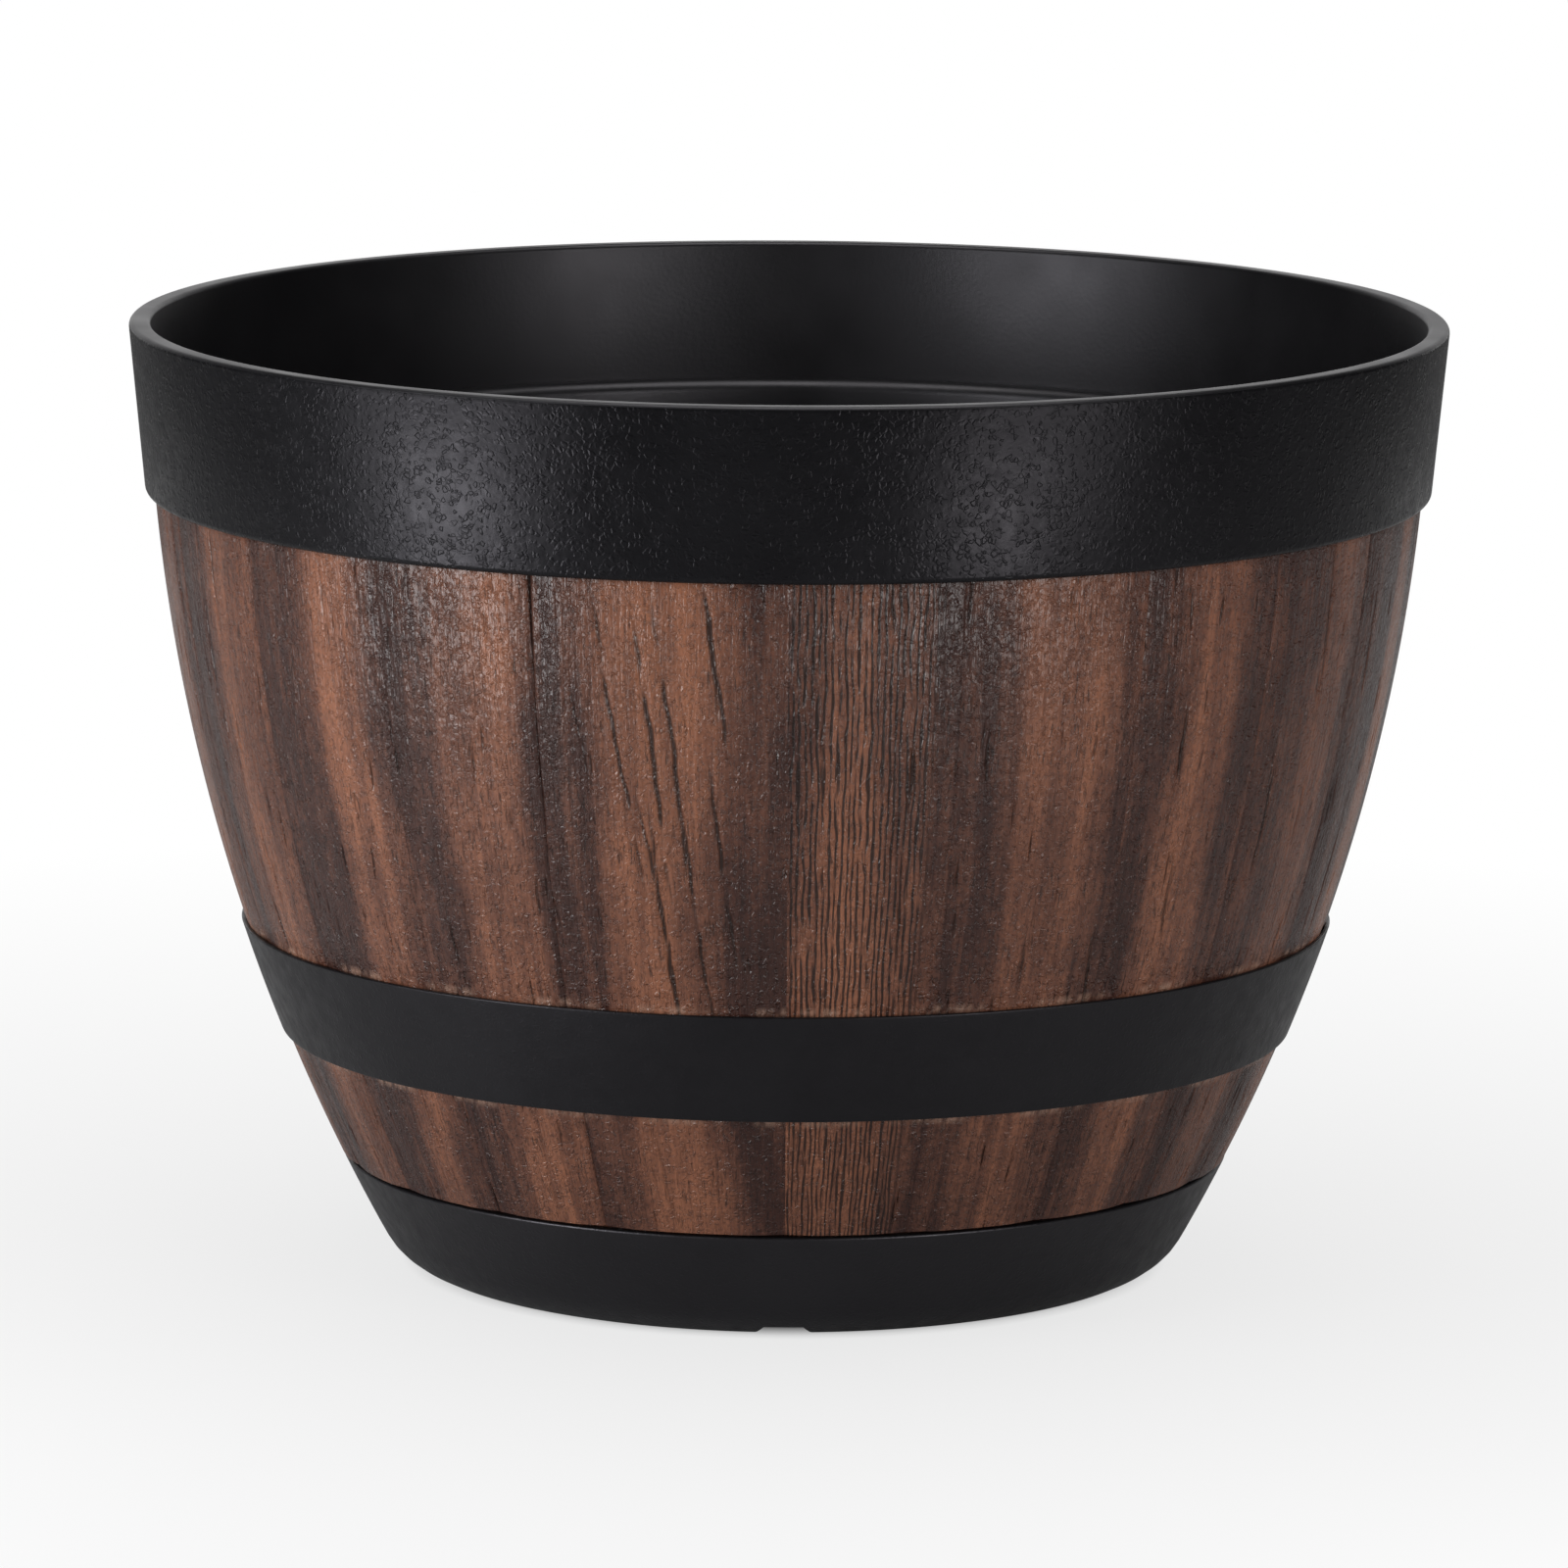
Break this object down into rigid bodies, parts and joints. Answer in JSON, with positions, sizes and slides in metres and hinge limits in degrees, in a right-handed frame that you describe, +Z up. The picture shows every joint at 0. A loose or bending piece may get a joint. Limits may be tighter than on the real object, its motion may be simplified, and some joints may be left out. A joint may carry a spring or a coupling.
{
  "type": "barrel planter",
  "caption": "Round bulging barrel planter: wood-effect staves bound by a black rim collar, hoop and base shoe, with a black drop-in liner that lifts out.",
  "frame": {"origin": "on the floor under the middle of the foot ring", "axes": "+Z up along the barrel's axis, -Y towards the front"},
  "size_m": [0.3048, 0.3048, 0.221],
  "materials": {
    "grained_black": "black moulded plastic with a fine pebble grain and a satin sheen",
    "smooth_black": "smooth satin black moulded plastic",
    "wood_effect": "stained wood effect in brown, grained along the staves, with a fine pebble grain over it"
  },
  "bodies": {
    "barrel": {"base_shoe": "grained_black", "stave_01": "wood_effect", "stave_02": "wood_effect", "stave_03": "wood_effect", "stave_04": "wood_effect", "stave_05": "wood_effect", "stave_06": "wood_effect", "stave_07": "wood_effect", "stave_08": "wood_effect", "stave_09": "wood_effect", "stave_10": "wood_effect", "stave_11": "wood_effect", "stave_12": "wood_effect", "stave_13": "wood_effect", "stave_14": "wood_effect", "stave_15": "wood_effect", "stave_16": "wood_effect", "stave_17": "wood_effect", "stave_18": "wood_effect", "stave_19": "wood_effect", "stave_20": "wood_effect", "stave_21": "wood_effect", "lower_hoop": "grained_black", "rim_collar": "grained_black"},
    "liner": {"liner": "smooth_black"}
  },
  "joints": [
    {"name": "liner_lift", "type": "slide", "parent": "barrel", "child": "liner", "axis": [0, 0, 1], "range_m": [0, 0.22]}
  ]
}
